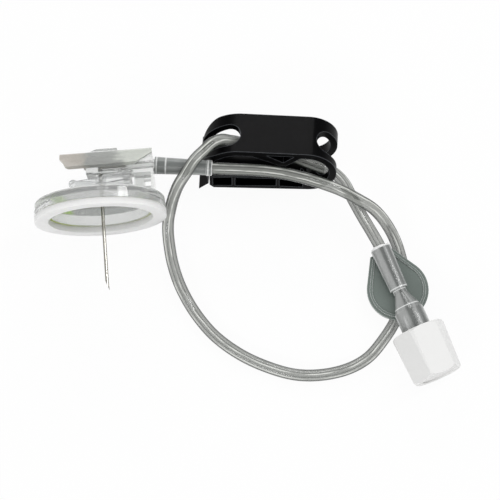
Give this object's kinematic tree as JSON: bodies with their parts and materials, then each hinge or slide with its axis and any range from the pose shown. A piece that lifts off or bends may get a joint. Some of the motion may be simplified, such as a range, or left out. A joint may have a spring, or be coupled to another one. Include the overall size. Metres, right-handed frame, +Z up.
{
  "type": "huber needle infusion set",
  "caption": "right-angle port needle on a foam-backed disc with folding guard arms, soft wings, a looped clear tube, a pinch clamp and a capped luer connector",
  "frame": {"origin": "on the table under the centre of the foam's skin face, with the disc on its edge", "axes": "+Z up from the table, needle along -Y, tubing leaves the hub along +X"},
  "size_m": [0.0853, 0.0589, 0.0272],
  "materials": {
    "clear_disc": "clear moulded plastic",
    "foam": "white closed-cell foam",
    "adhesive": "pale adhesive film",
    "steel": "ground stainless steel",
    "clear_hub": "clear moulded plastic",
    "soft_vinyl": "soft clear vinyl",
    "clear_arms": "clear moulded plastic",
    "soft_sleeve": "soft frosted vinyl",
    "clear_tube": "clear tubing",
    "black_plastic": "black moulded plastic",
    "clear_luer": "clear moulded plastic",
    "white_plastic": "white moulded plastic"
  },
  "bodies": {
    "set": {"hub": "clear_hub", "wings": "soft_vinyl", "needle": "steel", "sleeve": "soft_sleeve", "tubing": "clear_tube", "clamp": "black_plastic", "luer_connector": "clear_luer"},
    "front_upper": {"front_upper_arm": "clear_arms"},
    "front_lower": {"front_lower_arm": "clear_arms"},
    "base": {"base_disc": "clear_disc", "foam_pad": "foam", "adhesive_film": "adhesive"},
    "rear_upper": {"rear_upper_arm": "clear_arms"},
    "rear_lower": {"rear_lower_arm": "clear_arms"},
    "cap": {"luer_cap": "white_plastic"}
  },
  "joints": [
    {"name": "guard_unfold", "type": "hinge", "parent": "set", "child": "front_upper", "pos_m": [0.006, 0.0083, 0.01615], "axis": [0, 0, 1], "range_deg": [0, 75]},
    {"name": "front_elbow", "type": "hinge", "parent": "front_upper", "child": "front_lower", "pos_m": [-0.00491, 0.0069, 0.017], "axis": [0, 0, -1], "range_deg": [0, 150]},
    {"name": "base_hinge", "type": "hinge", "parent": "front_lower", "child": "base", "pos_m": [0.006, 0.00551, 0.017], "axis": [0, 0, 1], "range_deg": [0, 75]},
    {"name": "rear_upper_hinge", "type": "hinge", "parent": "set", "child": "rear_upper", "pos_m": [0.006, 0.0083, 0.01105], "axis": [0, 0, 1], "range_deg": [0, 75]},
    {"name": "rear_elbow", "type": "hinge", "parent": "rear_upper", "child": "rear_lower", "pos_m": [-0.00491, 0.0069, 0.0102], "axis": [0, 0, -1], "range_deg": [0, 150]},
    {"name": "cap_turn", "type": "hinge", "parent": "set", "child": "cap", "pos_m": [0.0651, -0.03173, 0.00566], "axis": [0.3206, -0.9472, 0], "range_deg": [0, 360]}
  ],
  "couplings": [
    {"joint": "front_elbow", "follows": "guard_unfold", "ratio": 2},
    {"joint": "base_hinge", "follows": "guard_unfold", "ratio": 1},
    {"joint": "rear_upper_hinge", "follows": "guard_unfold", "ratio": 1},
    {"joint": "rear_elbow", "follows": "guard_unfold", "ratio": 2}
  ]
}
